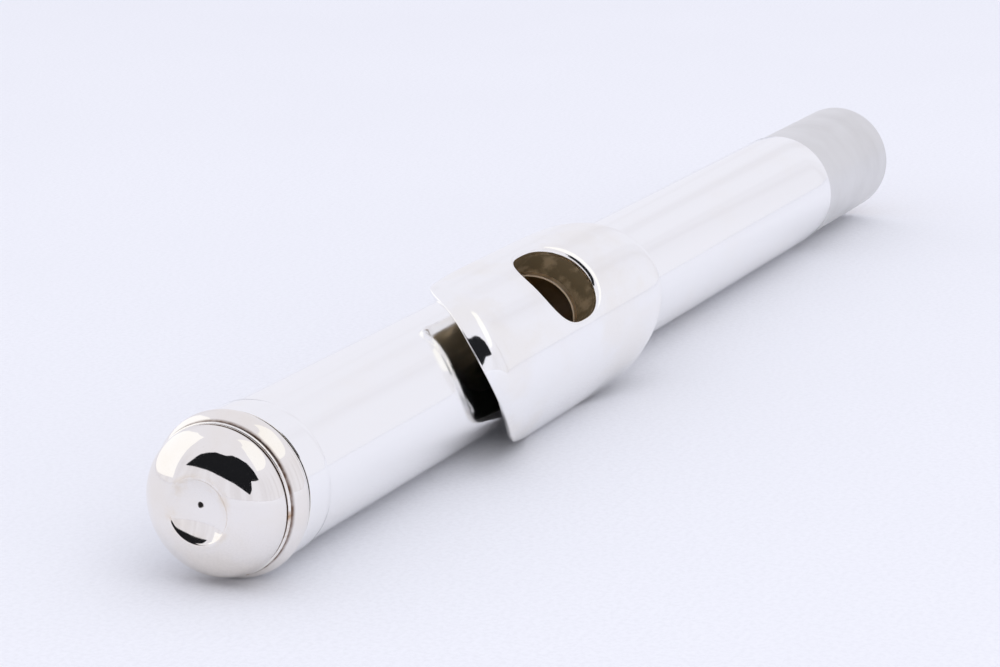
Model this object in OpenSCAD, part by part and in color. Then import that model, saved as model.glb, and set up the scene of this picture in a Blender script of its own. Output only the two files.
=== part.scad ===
// Head joint of a metal piccolo, lying on its side on a flat surface.
// Millimetres, +Z up, +X along the tube from the crown to the tenon.
// The origin is on the surface, under the middle of the bounding box.
// Inside the modules, "u" is the distance along the tube from the crown's seam,
// and an angle is turned about the tube from straight up towards the player (-Y).

/* [Head tube] */
// Outer diameter of the tube
tube_od = 11.8; // [11.4:0.1:12.4]
// Bore of the tube
bore_d = 10.8; // [10.4:0.1:11.0]
// Distance from the crown's seam to the end of the tenon
tube_end = 137.5; // [130:0.5:145]
// Outer diameter of the tenon
tenon_od = 11.46; // [11.2:0.02:11.6]
// Length of the tenon
tenon_len = 19.5; // [16:0.5:22]
// Length of the reinforcing band behind the crown
band_len = 3.1; // [2:0.1:5]
// Thickness of the reinforcing band
band_wall = 0.14; // [0.1:0.02:0.3]

/* [Embouchure] */
// Distance from the crown's seam to the middle of the hole
hole_u = 47.8; // [46:0.1:50]
// Length of the hole along the tube
hole_len = 9.5; // [9:0.1:10.5]
// Width of the hole across the tube
hole_wid = 7.4; // [7:0.1:8.5]
// How far the joint is rolled towards the player as it lies
roll = 41.5; // [38:0.5:44]
// Wall of the riser between tube and lip plate
riser_wall = 0.9; // [0.7:0.1:1.2]

/* [Lip plate] */
// Radius of the plate's outer face
plate_r = 7.9; // [7.7:0.1:8.1]
// Thickness of the plate
plate_t = 0.7; // [0.5:0.1:0.8]
// Distance of the plate's own axis from the tube's axis
plate_rise = 0.85; // [0.6:0.05:1.0]
// Lean of the plate towards the player, beyond the hole's direction
plate_lean = 9; // [5:1:12]
// Length of the plate, half of it on each side of the hole
plate_len = 35.8; // [33:0.1:38]
// Angle of the plate's far edge about its own axis
plate_back = -6; // [-12:1:-4]
// Radius of the crease where each end turns down
crease_r = 0.9; // [0.8:0.1:1.4]
// Angle that each end turns down through
crease_turn = 48; // [30:1:55]
// Length of the slope past each crease
slope_len = 1.3; // [0.8:0.1:1.5]
// Radius of the bulge at each end of the outline
bulge_r = 8.4; // [8:0.1:11]
// How far the bulges sit from the plate's middle, towards its far edge
bulge_shift = 1.3; // [0:0.1:3]
// Radius of the outline's curve on the player's side
belly_r = 60; // [40:1:80]
// Radius of the corner at the back, towards the crown
crown_corner_r = 2.2; // [2:0.1:4]
// Radius of the corner at the back, towards the tenon
tenon_corner_r = 5; // [2:0.1:6]

/* [Crown] */
// Widest diameter of the crown's flange
flange_d = 12.6; // [12.4:0.1:13.2]
// Back of the flange, where it bears on the tube
flange_back = 2.4; // [2.0:0.1:3.0]
// Radius of the domed cap at its rim
dome_r = 5.68; // [5.5:0.02:5.7]
// Height that the dome would have without its dish
dome_h = 3.4; // [3:0.1:4]
// Radius of the dish in the dome
dish_r = 2.52; // [2.3:0.02:2.8]
// Depth of the dish below its rim
dish_depth = 0.7; // [0.4:0.1:1]
// Length of the spigot inside the tube
spigot_len = 5.6; // [5:0.1:7]

/* [Stopper] */
// Distance from the reflecting face to the middle of the hole
stopper_gap = 7.2; // [6.5:0.1:8]
// Length of the head cork
cork_len = 12; // [10:0.5:14]
// Diameter of the threaded rod
rod_d = 3; // [2.5:0.1:3.5]
// How far the crown can draw the stopper back
draw = 2.8; // [1:0.1:2.8]

/* [Hidden] */
$fn = 96;

tube_r = tube_od / 2;
bore_r = bore_d / 2;
tenon_r = tenon_od / 2;
flange_r = flange_d / 2;
rod_r = rod_d / 2;
slip = 0.05;      // radial running clearance of parts that slide in the bore or on the rod
seam = 0.1;       // gap between the flange and the end of the tube
eps = 0.01;       // overlap of a cutter past the face that it cuts

// Tube
tube_start = flange_back + seam;
edge = 0.12;      // small chamfer on the tube's ends and step
past = 20;        // length or half-width of a cutter that passes right through

// Plate: its own axis is beside the tube's, and its lower edge stands on the surface
plate_y = -plate_rise * sin(roll + plate_lean);
plate_z = plate_rise * cos(roll + plate_lean);
plate_lip = acos((-flange_r - plate_z) / plate_r);
plate_mid = (plate_back + plate_lip) / 2;
plate_reach = plate_r * sin(plate_lip - plate_mid);   // half-width, seen square on to the middle
belly_reach = 0.2;    // height of the player's side curve above that half-width
belly_half = 10.5;    // half-length of that curve, ending inside the bulges
trim = 1;   // how far the sheet runs on past its outline before it is cut to it

// Crown
cap_wall = 0.5;
cap_rim = -0.1;
web_front = 0.25;
web_t = 1;
swell_share = 0.72;   // share of the flange's width over which it swells to its widest
swell_fall = 0.2;     // how much it narrows again behind that
spigot_wall = 0.8;
bead_r = 0.16;
bead_ring_r = 5.62;
bead_u = 0.08;
bush_r = 3;
bush_end = 7.4;
// Angle round the dome's ellipse at which the dish begins
dish_angle = acos(dish_r / dome_r);
dish_rim = -dome_h * sin(dish_angle);
inner_angle = dish_angle * 10 / 12;   // where the cap's inside leaves its dome

// Stopper
reflector_t = 0.9;
disc_clear = 0.15;
disc_t = 0.8;
nut_t = 1.8;
nut_af = 5.5;
reflector_u = hole_u - stopper_gap - reflector_t;
cork_u = reflector_u - cork_len;
plate2_u = cork_u - disc_t;
nut_u = plate2_u - nut_t;
rod_u = web_front + web_t + draw + 0.3;

// Frame
crown_front = cap_rim + dish_rim;
mid_u = (crown_front + tube_end) / 2;
mid_y = (flange_r + plate_y - plate_r) / 2;

// Moves a piece drawn about the tube's axis to where the joint lies
module lie() {
    translate([-mid_u, -mid_y, flange_r]) children();
}

// Turns a profile of [radius, u] points into a round piece along the tube
module turned(profile) {
    rotate([0, 90, 0]) rotate_extrude() polygon(profile);
}

// Straight ring along the tube
module ring(from_u, to_u, outer, inner) {
    turned([[inner, from_u], [outer, from_u], [outer, to_u], [inner, to_u]]);
}

// Points of an oval between an ellipse and a rectangle
function oval(length, width, power, steps = 72) =
    [for (i = [0:steps - 1])
        let (a = 360 * i / steps, c = cos(a), s = sin(a))
        [length / 2 * sign(c) * pow(abs(c), 2 / power),
         width / 2 * sign(s) * pow(abs(s), 2 / power)]];

// Oval prism that stands on the tube's axis and leans with the embouchure hole
module oval_post(length, width) {
    rotate([roll, 0, 0]) translate([hole_u, 0, 0])
        linear_extrude(height = past) polygon(oval(length, width, 2.5));
}

// Drawn tube with the stepped tenon, open at both ends, cut for the riser
module head_tube() {
    color([0.86, 0.86, 0.88]) lie() difference() {
        turned([[bore_r, tube_start], [tube_r - edge, tube_start], [tube_r, tube_start + edge],
                [tube_r, tube_end - tenon_len - edge], [tenon_r, tube_end - tenon_len],
                [tenon_r, tube_end - edge], [tenon_r - edge, tube_end], [bore_r, tube_end]]);
        oval_post(hole_len, hole_wid);
    }
}

// Thin band that stiffens the end of the tube behind the crown
module crown_band() {
    color([0.84, 0.84, 0.86]) lie()
        ring(tube_start + edge, tube_start + edge + band_len, tube_r + band_wall, tube_r);
}

// Chimney that carries the lip plate: tube's outside to plate's inside
module riser() {
    color([0.55, 0.47, 0.38]) lie() difference() {
        intersection() {
            oval_post(hole_len + 2 * riser_wall, hole_wid + 2 * riser_wall);
            translate([0, plate_y, plate_z]) rotate([0, 90, 0])
                cylinder(r = plate_r - plate_t, h = hole_u + past);
        }
        rotate([0, 90, 0]) cylinder(r = tube_r, h = hole_u + past);
        oval_post(hole_len, hole_wid);
    }
}

// One end of the plate's section as [radius, distance], a skin's depth below the outer face
function turned_down(depth, side) =
    let (r = crease_r - depth,
         start = plate_len / 2 - slope_len * cos(crease_turn) - crease_r * sin(crease_turn),
         run = slope_len + trim)
    concat(
        [for (a = [0:12:crease_turn]) [plate_r - crease_r + r * cos(a), side * (start + r * sin(a))]],
        [[plate_r - crease_r + r * cos(crease_turn) - run * sin(crease_turn),
          side * (start + r * sin(crease_turn) + run * cos(crease_turn))]]);

function backwards(points) = [for (i = [len(points) - 1:-1:0]) points[i]];

// Section of the bent sheet, with both ends turned down
module plate_section() {
    polygon(concat(turned_down(0, 1), backwards(turned_down(plate_t, 1)),
                   turned_down(plate_t, -1), backwards(turned_down(0, -1))));
}

// Outline of the plate, seen square on to its middle: +Y is the far edge
module plate_outline() {
    inset = plate_len / 2 - bulge_r;
    translate([0, bulge_shift]) {
        for (side = [-1, 1]) translate([side * inset, 0]) circle(r = bulge_r);
        square([2 * inset, 2 * bulge_r], center = true);
    }
    intersection() {
        translate([0, belly_r - plate_reach - belly_reach]) circle(r = belly_r, $fn = 360);
        translate([-belly_half, -2 * plate_reach]) square([2 * belly_half, 2 * plate_reach]);
    }
}

// Cutter that rounds one back corner of the plate: a square block less a round post
module corner_cutter(side) {
    corner_r = side > 0 ? tenon_corner_r : crown_corner_r;
    recess = bulge_r - sqrt(pow(bulge_r, 2) - pow(plate_reach - bulge_shift, 2));
    rotate([plate_back, 0, 0])
        translate([side * (plate_len / 2 - recess - corner_r), -corner_r, 0])
            difference() {
                translate([side > 0 ? 0 : -past, 0, 0]) cube(past);
                translate([0, 0, -eps]) cylinder(r = corner_r, h = past + 2 * eps);
            }
}

// Saddle-shaped lip plate with the embouchure hole
module lip_plate() {
    color([0.88, 0.88, 0.9]) lie() difference() {
        translate([hole_u, plate_y, plate_z]) difference() {
            intersection() {
                rotate([0, 90, 0]) rotate([0, 0, 180 + plate_back])
                    rotate_extrude(angle = plate_lip - plate_back) plate_section();
                rotate([plate_mid, 0, 0]) linear_extrude(height = past) plate_outline();
            }
            for (side = [-1, 1]) corner_cutter(side);
        }
        oval_post(hole_len, hole_wid);
    }
}

// Dome and dish as [radius, distance], from the rim inwards
function dome(radius, height, to_angle, steps = 12) =
    [for (i = [0:steps]) let (a = to_angle * i / steps) [radius * cos(a), -height * sin(a)]];

function dish(radius, depth, from_u, steps = 6) =
    [for (i = [0:steps]) let (r = radius * (1 - i / steps))
        [r, from_u + depth * (1 - pow(r / radius, 2))]];

// Domed cap of the crown, hollow, with a dish in its middle
module crown_cap() {
    color([0.9, 0.89, 0.88]) lie() translate([cap_rim, 0, 0])
        turned(concat(
            dome(dome_r, dome_h, dish_angle),
            dish(dish_r - eps, dish_depth, dish_rim),
            backwards(dish(dish_r, dish_depth, dish_rim + cap_wall)),
            backwards(dome(dome_r - cap_wall, dome_h - cap_wall, inner_angle))));
}

// Fine wire ring between the cap and the flange
module crown_bead() {
    color([0.8, 0.74, 0.64]) lie()
        rotate([0, 90, 0]) rotate_extrude() translate([bead_ring_r, bead_u]) circle(r = bead_r, $fn = 24);
}

// Flange with its web and the spigot that fills the end of the tube
module crown_flange() {
    width = flange_back - web_front;
    belly = [for (i = [0:10]) let (t = i / 10)
        [dome_r + (flange_r - dome_r) * sin(90 * min(1, t / swell_share))
            - swell_fall * pow(max(0, (t - swell_share) / (1 - swell_share)), 2),
         web_front + width * t]];
    spigot_r = bore_r - slip;
    color([0.87, 0.87, 0.88]) lie()
        turned(concat(
            [[bush_r - 1, web_front]],
            belly,
            [[spigot_r, flange_back], [spigot_r, flange_back + spigot_len - edge],
             [spigot_r - edge, flange_back + spigot_len],
             [spigot_r - spigot_wall, flange_back + spigot_len],
             [spigot_r - spigot_wall, web_front + web_t], [bush_r - 1, web_front + web_t]]));
}

// Threaded bush in the crown's web, closed towards the cap
module crown_bush() {
    color([0.78, 0.68, 0.42]) lie()
        turned([[0, web_front], [bush_r - 1, web_front], [bush_r - 1, web_front + web_t],
                [bush_r, web_front + web_t], [bush_r, bush_end], [rod_r + slip, bush_end],
                [rod_r + slip, web_front + web_t + slip], [0, web_front + web_t + slip]]);
}

// Threaded rod that carries the stopper
module stopper_rod() {
    color([0.8, 0.7, 0.45]) lie()
        turned([[0, rod_u], [rod_r - edge, rod_u], [rod_r, rod_u + edge],
                [rod_r, reflector_u + reflector_t / 2], [0, reflector_u + reflector_t / 2]]);
}

// Hexagon nut that clamps the cork
module cork_nut() {
    color([0.78, 0.68, 0.42]) lie() difference() {
        translate([nut_u, 0, 0]) rotate([0, 90, 0])
            cylinder(d = nut_af / cos(30), h = nut_t, $fn = 6);
        translate([nut_u - eps, 0, 0]) rotate([0, 90, 0]) cylinder(r = rod_r, h = nut_t + 2 * eps);
    }
}

// Disc between the nut and the cork
module cork_plate() {
    color([0.75, 0.75, 0.76]) lie()
        ring(plate2_u, cork_u, bore_r - disc_clear, rod_r);
}

// Cork that seals the bore
module head_cork() {
    color([0.72, 0.54, 0.36]) lie()
        ring(cork_u, reflector_u, bore_r - slip, rod_r);
}

// Reflecting disc that closes the bore beside the embouchure hole
module reflector_plate() {
    face_r = bore_r - disc_clear;
    middle = reflector_u + reflector_t / 2;
    color([0.82, 0.82, 0.84]) lie()
        turned([[rod_r, reflector_u], [face_r, reflector_u], [face_r, reflector_u + reflector_t],
                [0, reflector_u + reflector_t], [0, middle], [rod_r, middle]]);
}

head_tube();
crown_band();
riser();
lip_plate();
crown_cap();
crown_bead();
crown_flange();
crown_bush();
stopper_rod();
cork_nut();
cork_plate();
head_cork();
reflector_plate();
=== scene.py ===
# %% [markdown]
# # The head joint of a metal piccolo
#
# A piccolo's head joint is a short silver tube that lies on a cloth here, seen from its crown. It has
# a domed crown that screws the cork stopper in and out, a tube, a small chimney called the riser, a
# saddle-shaped lip plate with the embouchure hole, and a dull tenon that plugs into the body.
#
# Polished silver has hardly any colour of its own: it shows what is around it. So this lesson spends
# its effort on three things. The surfaces have to be truly smooth, because a mirror shows every facet.
# The surroundings have to be worth reflecting, a white tent with a dark opening and two windows. And
# the metal needs the small faults that a used instrument has.

# %% Load the fixed model
import bpy
import math
import numpy as np
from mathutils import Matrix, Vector


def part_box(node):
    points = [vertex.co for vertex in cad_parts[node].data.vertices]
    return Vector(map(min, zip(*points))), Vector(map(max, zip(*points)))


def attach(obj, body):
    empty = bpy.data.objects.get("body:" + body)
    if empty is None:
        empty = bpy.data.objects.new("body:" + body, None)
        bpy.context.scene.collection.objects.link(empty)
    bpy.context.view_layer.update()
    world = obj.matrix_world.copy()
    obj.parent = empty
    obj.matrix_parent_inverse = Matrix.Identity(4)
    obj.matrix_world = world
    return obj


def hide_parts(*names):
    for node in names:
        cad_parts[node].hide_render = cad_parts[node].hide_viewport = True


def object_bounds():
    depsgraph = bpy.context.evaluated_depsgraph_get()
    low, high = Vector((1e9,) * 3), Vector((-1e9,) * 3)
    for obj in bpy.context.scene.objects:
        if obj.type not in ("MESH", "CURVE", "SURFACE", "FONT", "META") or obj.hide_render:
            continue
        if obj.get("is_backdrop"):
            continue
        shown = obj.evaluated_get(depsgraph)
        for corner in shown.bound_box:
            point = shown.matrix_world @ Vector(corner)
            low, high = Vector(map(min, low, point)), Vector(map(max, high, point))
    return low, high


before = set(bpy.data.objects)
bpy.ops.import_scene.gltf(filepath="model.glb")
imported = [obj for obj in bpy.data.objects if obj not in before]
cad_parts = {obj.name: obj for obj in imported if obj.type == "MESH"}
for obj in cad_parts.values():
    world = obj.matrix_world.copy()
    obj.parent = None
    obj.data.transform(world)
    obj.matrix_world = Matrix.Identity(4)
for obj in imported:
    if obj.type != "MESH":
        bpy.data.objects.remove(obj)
cad_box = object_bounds()
print("the fixed model has", len(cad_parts), "pieces")

# %% [markdown]
# ## Where everything is
#
# Every round piece shares one axis, the tube's. Its place and the main sizes come from the fixed model.
# The other sizes are the maker's own, in millimetres, as on a drawing. A point is given by its distance
# along the tube from the crown's seam, and by an angle about the tube from straight up towards the
# player, who would stand on the -Y side.

# %% Axis and sizes
MM = 0.001
FLANGE_START = 0.25
tube_low, tube_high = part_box("head_tube")
flange_low, flange_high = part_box("crown_flange")
AXIS_Y = (tube_low.y + tube_high.y) / 2
AXIS_Z = (tube_low.z + tube_high.z) / 2
TUBE_R = (tube_high.z - tube_low.z) / 2 / MM
SEAM_X = flange_low.x - FLANGE_START * MM
TUBE_END = (tube_high.x - SEAM_X) / MM
TUBE_START = (tube_low.x - SEAM_X) / MM
BORE_R = 5.4
TENON_R = 5.73
TENON_LEN = 19.5
STEP = TUBE_END - TENON_LEN
print(f"tube radius {TUBE_R:.2f} mm, from {TUBE_START:.2f} to {TUBE_END:.2f} mm behind the seam")

# %% [markdown]
# ## Meshes from rows of points
#
# Most pieces here are a closed section carried round a closed loop, so one helper turns a grid of
# points into a mesh. It joins each row to the next and the last row to the first, which leaves no open
# edge. Faces are smooth, and only real corners are marked sharp.

# %% Grid helper
def make_mesh(name, points, faces, sharp_deg=38):
    """A mesh object from millimetre points about the tube's axis."""
    points = np.asarray(points, float).reshape(-1, 3) * MM
    points += np.array([SEAM_X, AXIS_Y, AXIS_Z])
    mesh = bpy.data.meshes.new(name)
    mesh.from_pydata(points.tolist(), [], faces)
    mesh.validate()
    mesh.polygons.foreach_set("use_smooth", [True] * len(mesh.polygons))
    mesh.set_sharp_from_angle(angle=math.radians(sharp_deg))
    piece = bpy.data.objects.new(name, mesh)
    bpy.context.scene.collection.objects.link(piece)
    return piece


def grid_faces(rows, columns, close_rows=True, close_columns=True):
    """Quads of a rows x columns grid, closed on itself both ways unless told otherwise."""
    i = np.arange(rows if close_rows else rows - 1)
    j = np.arange(columns if close_columns else columns - 1)
    i, j = [a.ravel() for a in np.meshgrid(i, j, indexing="ij")]
    i2, j2 = (i + 1) % rows, (j + 1) % columns
    return np.stack([i * columns + j, i * columns + j2, i2 * columns + j2, i2 * columns + j], -1).tolist()


def face_out(piece):
    """Turns all faces outwards, judged by the closed mesh's signed volume, and gives back its size."""
    mesh = piece.data
    mesh.calc_loop_triangles()
    corners = np.array([v.co[:] for v in mesh.vertices])
    tri = np.array([t.vertices[:] for t in mesh.loop_triangles])
    a, b, c = corners[tri[:, 0]], corners[tri[:, 1]], corners[tri[:, 2]]
    volume = np.einsum("ij,ij->i", a - corners.mean(0), np.cross(b - a, c - a)).sum() / 6
    if volume < 0:
        mesh.flip_normals()
    return abs(volume)


# %% [markdown]
# ## Turned pieces
#
# The crown, the tube, the stopper and its screw all come off a lathe, so each is one section spun about
# the axis. The section is a closed list of (distance along, radius) points, and curved stretches of it
# are worked out from arcs. A Screw modifier could do the same, but a grid of points gives even quads
# whose normals are exact, and that is what keeps a reflection unbroken.

# %% Lathe helpers
def arc(center_u, center_r, reach_u, reach_r, start, end, steps=10):
    """Points of an elliptic arc, angles in degrees from the -u direction towards +r."""
    turn = np.radians(np.linspace(start, end, steps + 1))
    return [(center_u - reach_u * math.cos(t), center_r + reach_r * math.sin(t)) for t in turn]


def turned(name, section, around=288, sharp_deg=38):
    """A solid of revolution. A section that starts and ends on the axis gets its poles merged."""
    section = [section[0]] + [p for q, p in zip(section, section[1:]) if math.dist(p, q) > 1e-4]
    on_axis = section[0][1] == 0 and section[-1][1] == 0
    body = section[1:-1] if on_axis else section
    u, r = np.array(body).T
    t = np.linspace(0, 2 * math.pi, around, endpoint=False)
    grid = np.stack(np.broadcast_arrays(u[:, None], r[:, None] * np.sin(t), r[:, None] * np.cos(t)), -1)
    points = grid.reshape(-1, 3).tolist()
    faces = grid_faces(len(body), around, close_rows=not on_axis)
    if on_axis:
        for pole, row in ((section[0], 0), (section[-1], len(body) - 1)):
            points.append((pole[0], 0, 0))
            ring = [row * around + k for k in range(around)]
            for k in range(around):
                pair = (ring[k], ring[(k + 1) % around])
                faces.append([len(points) - 1, *(pair[::-1] if row == 0 else pair)])
    piece = make_mesh(name, points, faces, sharp_deg)
    volume = face_out(piece)
    print(f"{name}: {len(piece.data.polygons)} faces, {volume * 1e9:.1f} mm3")
    return piece


# %% [markdown]
# ## Ovals
#
# The embouchure hole and the riser are the same kind of oval, between an ellipse and a rectangle, and
# one formula gives both: the higher its power, the squarer the corners. The oval leans towards the
# player, so two directions go with it, one across the hole and one up out of it.

# %% Oval formula
def oval(angle, length, width, power):
    """Points of the oval at these angles."""
    c, s = np.cos(angle), np.sin(angle)
    return (length / 2 * np.sign(c) * np.abs(c) ** (2 / power),
            width / 2 * np.sign(s) * np.abs(s) ** (2 / power))


HOLE_U, HOLE_LEN, HOLE_WID, HOLE_POWER = 47.8, 9.5, 7.4, 2.5
ROLL = math.radians(41.5)
# Directions across the hole and up out of it, as it leans towards the player
ACROSS = np.array([0, math.cos(ROLL), math.sin(ROLL)])
UP = np.array([0, -math.sin(ROLL), math.cos(ROLL)])
ALONG = np.array([1.0, 0, 0])
print(f"the hole is {HOLE_LEN} by {HOLE_WID} mm")

# %% [markdown]
# ## The tube
#
# The tube is drawn nickel silver, plated and polished, with walls of half a millimetre. Near the riser
# its rings are close together, so that the cut for the hole leaves only small faces, and those are
# under the riser where no reflection can show them. A Boolean makes the cut, as a maker's saw does.

# %% Tube and its cut
def tube_section():
    """The wall's section, with its edges broken by a fine chamfer."""
    edge, round_end, near = 0.12, 0.16, 7
    near_hole = np.arange(HOLE_U - near, HOLE_U + near, 0.35)
    outside = np.concatenate([np.arange(TUBE_START + 1, HOLE_U - near, 3), near_hole,
                              np.arange(HOLE_U + near, STEP - 1, 3)])
    section = [(TUBE_START, BORE_R), (TUBE_START, TUBE_R - edge), (TUBE_START + edge, TUBE_R)]
    section += [(u, TUBE_R) for u in outside]
    section += [(STEP - 0.3, TUBE_R), (STEP - 0.12, TUBE_R - 0.03), (STEP - 0.02, TUBE_R - 0.12),
                (STEP, TENON_R)]
    section += [(u, TENON_R) for u in np.arange(STEP + 1, TUBE_END - 1, 3)]
    section += arc(TUBE_END - round_end, TENON_R - round_end, -round_end, round_end, 90, 0, 5)
    section += [(TUBE_END, BORE_R + 0.08), (TUBE_END - 0.08, BORE_R)]
    section += [(u, BORE_R) for u in outside[::-1]]
    return section


def hole_post(name, grow, height):
    """A plain post of the hole's oval, used only to cut with."""
    angle = np.linspace(0, 2 * math.pi, 96, endpoint=False)
    x, w = oval(angle, HOLE_LEN + 2 * grow, HOLE_WID + 2 * grow, HOLE_POWER)
    foot = np.outer(x + HOLE_U, ALONG) + np.outer(w, ACROSS)
    points = np.concatenate([foot, foot + UP * height])
    count = len(angle)
    faces = [[k, (k + 1) % count, count + (k + 1) % count, count + k] for k in range(count)]
    faces += [list(range(count))[::-1], list(range(count, 2 * count))]
    post = make_mesh(name, points, faces)
    face_out(post)
    return post


def baked(piece):
    """The piece with its modifiers applied."""
    bpy.context.view_layer.update()
    graph = bpy.context.evaluated_depsgraph_get()
    mesh = bpy.data.meshes.new_from_object(piece.evaluated_get(graph))
    piece.modifiers.clear()
    piece.data = mesh
    return piece


tube = turned("silver_tube", tube_section())
cutter = hole_post("hole_cutter", 0, 12)
cut = tube.modifiers.new("hole", "BOOLEAN")
cut.operation, cut.solver, cut.object = "DIFFERENCE", "EXACT", cutter
baked(tube)
bpy.data.objects.remove(cutter)
tube.data.set_sharp_from_angle(angle=math.radians(30))
print("tube with its hole:", len(tube.data.polygons), "faces")

# %% [markdown]
# ## The band behind the crown
#
# The tube's open end is stiffened by a very thin band. It is only 0.14 mm thick, but its edge catches
# the light as a fine step on both sides of the tube, so it gets a rounded edge of its own.

# %% Band
band_low, band_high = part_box("crown_band")
BAND = ((band_low.x - SEAM_X) / MM, (band_high.x - SEAM_X) / MM)
BAND_R = (band_high.z - band_low.z) / 2 / MM
band = turned("crown_band_ring", [
    (BAND[0], TUBE_R), (BAND[0], BAND_R - 0.04), (BAND[0] + 0.04, BAND_R),
    *[(u, BAND_R) for u in np.arange(BAND[0] + 0.5, BAND[1] - 0.3, 0.5)],
    (BAND[1] - 0.1, BAND_R), (BAND[1] - 0.03, BAND_R - 0.03), (BAND[1], BAND_R - 0.09), (BAND[1], TUBE_R)])

# %% [markdown]
# ## The crown
#
# The crown is three pieces. A thin cap is spun into a dome with a dish in its middle, and its rim is
# rolled in a little. A fine wire bead closes the joint between cap and flange, in a groove on each
# side. The flange is a smooth rounded belt with a fine step at its back, and its spigot fills the end
# of the tube. The marks of use in the dish, the tarnish and painted shade in the grooves, and the
# painted shade in the centre pit are left to the finish.

# %% Crown cap
DOME_R, DOME_H, DISH_R, DISH_DEPTH, CAP_WALL, CAP_RIM = 5.68, 3.4, 2.52, 0.7, 0.5, -0.1
dish_at = math.degrees(math.acos(DISH_R / DOME_R))
LIP_U = CAP_RIM - DOME_H * math.sin(math.radians(dish_at))


def dome_line(inset, start, end, steps):
    """The dome's outline from its rim inwards, moved in by the wall where asked."""
    turn = np.radians(np.linspace(start, end, steps + 1))
    return [(CAP_RIM - (DOME_H - inset) * math.sin(t), (DOME_R - inset) * math.cos(t)) for t in turn]


def dish_line(shift, steps):
    """The dish from its edge inwards, stopping short of the axis."""
    line = []
    for r in np.linspace(DISH_R - 0.16, 0.02, steps):
        hollow = DISH_DEPTH * (1 - (r / DISH_R) ** 2) ** 0.9
        line.append((LIP_U + shift + hollow, r))
    return line


edge_round = [(LIP_U + 0.03, DISH_R + 0.07), (LIP_U + 0.01, DISH_R - 0.01), (LIP_U + 0.045, DISH_R - 0.09)]
rolled_rim = [(-0.09, 5.36), (-0.12, 5.45), (-0.16, 5.54), (-0.21, 5.61), (-0.28, 5.658)]
outside = rolled_rim + dome_line(0, 4.5, dish_at - 3.5, 48) + edge_round + dish_line(0, 56)
inside = dome_line(CAP_WALL, 0, dish_at - 10, 20) + dish_line(CAP_WALL, 12)
cap = turned("crown_dome", [(inside[-1][0], 0)] + inside[::-1] + outside + [(outside[-1][0], 0)])

# %% Bead, flange and spigot
bead = turned("crown_wire_bead", arc(0.08, 5.62, 0.16, 0.16, 0, 345, 23), sharp_deg=80)

FLANGE_R = (flange_high.z - flange_low.z) / 2 / MM
FLANGE_BACK, FLANGE_HOLE_R, BELT_STEP = 2.4, 2.0, 0.24
SPIGOT_END = (flange_high.x - SEAM_X) / MM
SPIGOT_R = BORE_R - 0.05


def belly(widest=0.72, steps=40):
    """The flange's belt: it swells to its full width, then falls to a fine step at the back."""
    line = []
    for t in np.linspace(0.07, 1, steps + 1):
        swell = math.sin(math.pi / 2 * min(1, t / widest))
        fall = 0.2 * max(0, (t - widest) / (1 - widest)) ** 2
        line.append((FLANGE_START + (FLANGE_BACK - 0.42) * t,
                     DOME_R + (FLANGE_R - DOME_R) * swell - fall))
    return line


front = [(FLANGE_START, FLANGE_HOLE_R), (FLANGE_START, 5.36), (0.26, 5.46), (0.285, 5.56), (0.325, 5.66)]
back_step = [(FLANGE_BACK - 0.16, FLANGE_R - 0.27), (FLANGE_BACK - 0.13, FLANGE_R - BELT_STEP),
             (FLANGE_BACK - 0.05, FLANGE_R - BELT_STEP), (FLANGE_BACK, FLANGE_R - 0.29)]
spigot = [(FLANGE_BACK, SPIGOT_R),
          *[(u, SPIGOT_R) for u in np.arange(FLANGE_BACK + 1, SPIGOT_END - 0.5, 1)],
          (SPIGOT_END - 0.12, SPIGOT_R), (SPIGOT_END, SPIGOT_R - 0.12), (SPIGOT_END, SPIGOT_R - 0.8)]
hollow_inside = [(1.4, SPIGOT_R - 0.8), (1.25, SPIGOT_R - 0.95), (1.25, FLANGE_HOLE_R)]
flange = turned("crown_flange_belt", front + belly() + back_step + spigot + hollow_inside)

# %% [markdown]
# ## The lip plate
#
# The plate is one sheet of silver, bent to a saddle round an axis just beside the tube's. A narrow
# margin along each end is turned down towards the tube, most in the middle of the end and less towards
# its sides. On the flat sheet, s runs along the plate and w across it, from its back edge to the lip.
# The outline is three curves: a bulge in the middle of each end, a slight belly by the back edge, and
# a round corner at each side of the back, larger towards the tenon.

# %% Saddle formula
PLATE_R, PLATE_T, PLATE_RISE, PLATE_LEN = 7.9, 0.7, 0.85, 35.8
lean = ROLL + math.radians(9)
PLATE_AXIS = np.array([0, -PLATE_RISE * math.sin(lean), PLATE_RISE * math.cos(lean)])
PLATE_LIP = math.acos((-FLANGE_R - PLATE_AXIS[2]) / PLATE_R)
PLATE_BACK = math.radians(-6)
PLATE_MID = (PLATE_LIP + PLATE_BACK) / 2
PLATE_HALF = (PLATE_LIP - PLATE_BACK) / 2 * PLATE_R
BULGE_R, BULGE_SHIFT, BELLY_R, BELLY_LOW, BELLY_END = 8.4, 1.3, 60, -7.93, -7.08
CROWN_CORNER, TENON_CORNER = 2.2, 5
SLOPE_LEN, SLOPE, SLOPE_GAIN, CREASE, SOFT_CREASE = 1.08, 1.1, 0.3, 0.4, 1.2
FADE_MID, FADE_BACK, FADE_LIP = -3.0, 9.2, 11.0


def end_of(w, s):
    """Half-length of the plate this far across it, from its bulge, its belly and its back corners."""
    across = -PLATE_R * np.sin(w / PLATE_R)
    bulge = PLATE_LEN / 2 - BULGE_R + np.sqrt(np.maximum(BULGE_R ** 2 - (across - BULGE_SHIFT) ** 2, 0))
    belly = np.sqrt(np.maximum(BELLY_R ** 2 - (BELLY_R + BELLY_LOW - across) ** 2, 0))
    length = np.where(across < BELLY_END, belly, bulge)
    corner = np.where(s > 0, TENON_CORNER, CROWN_CORNER)
    rounding = np.clip((corner - PLATE_HALF - w) / corner, 0, 0.999)
    return length - corner * (1 - np.sqrt(1 - rounding ** 2))


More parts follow.
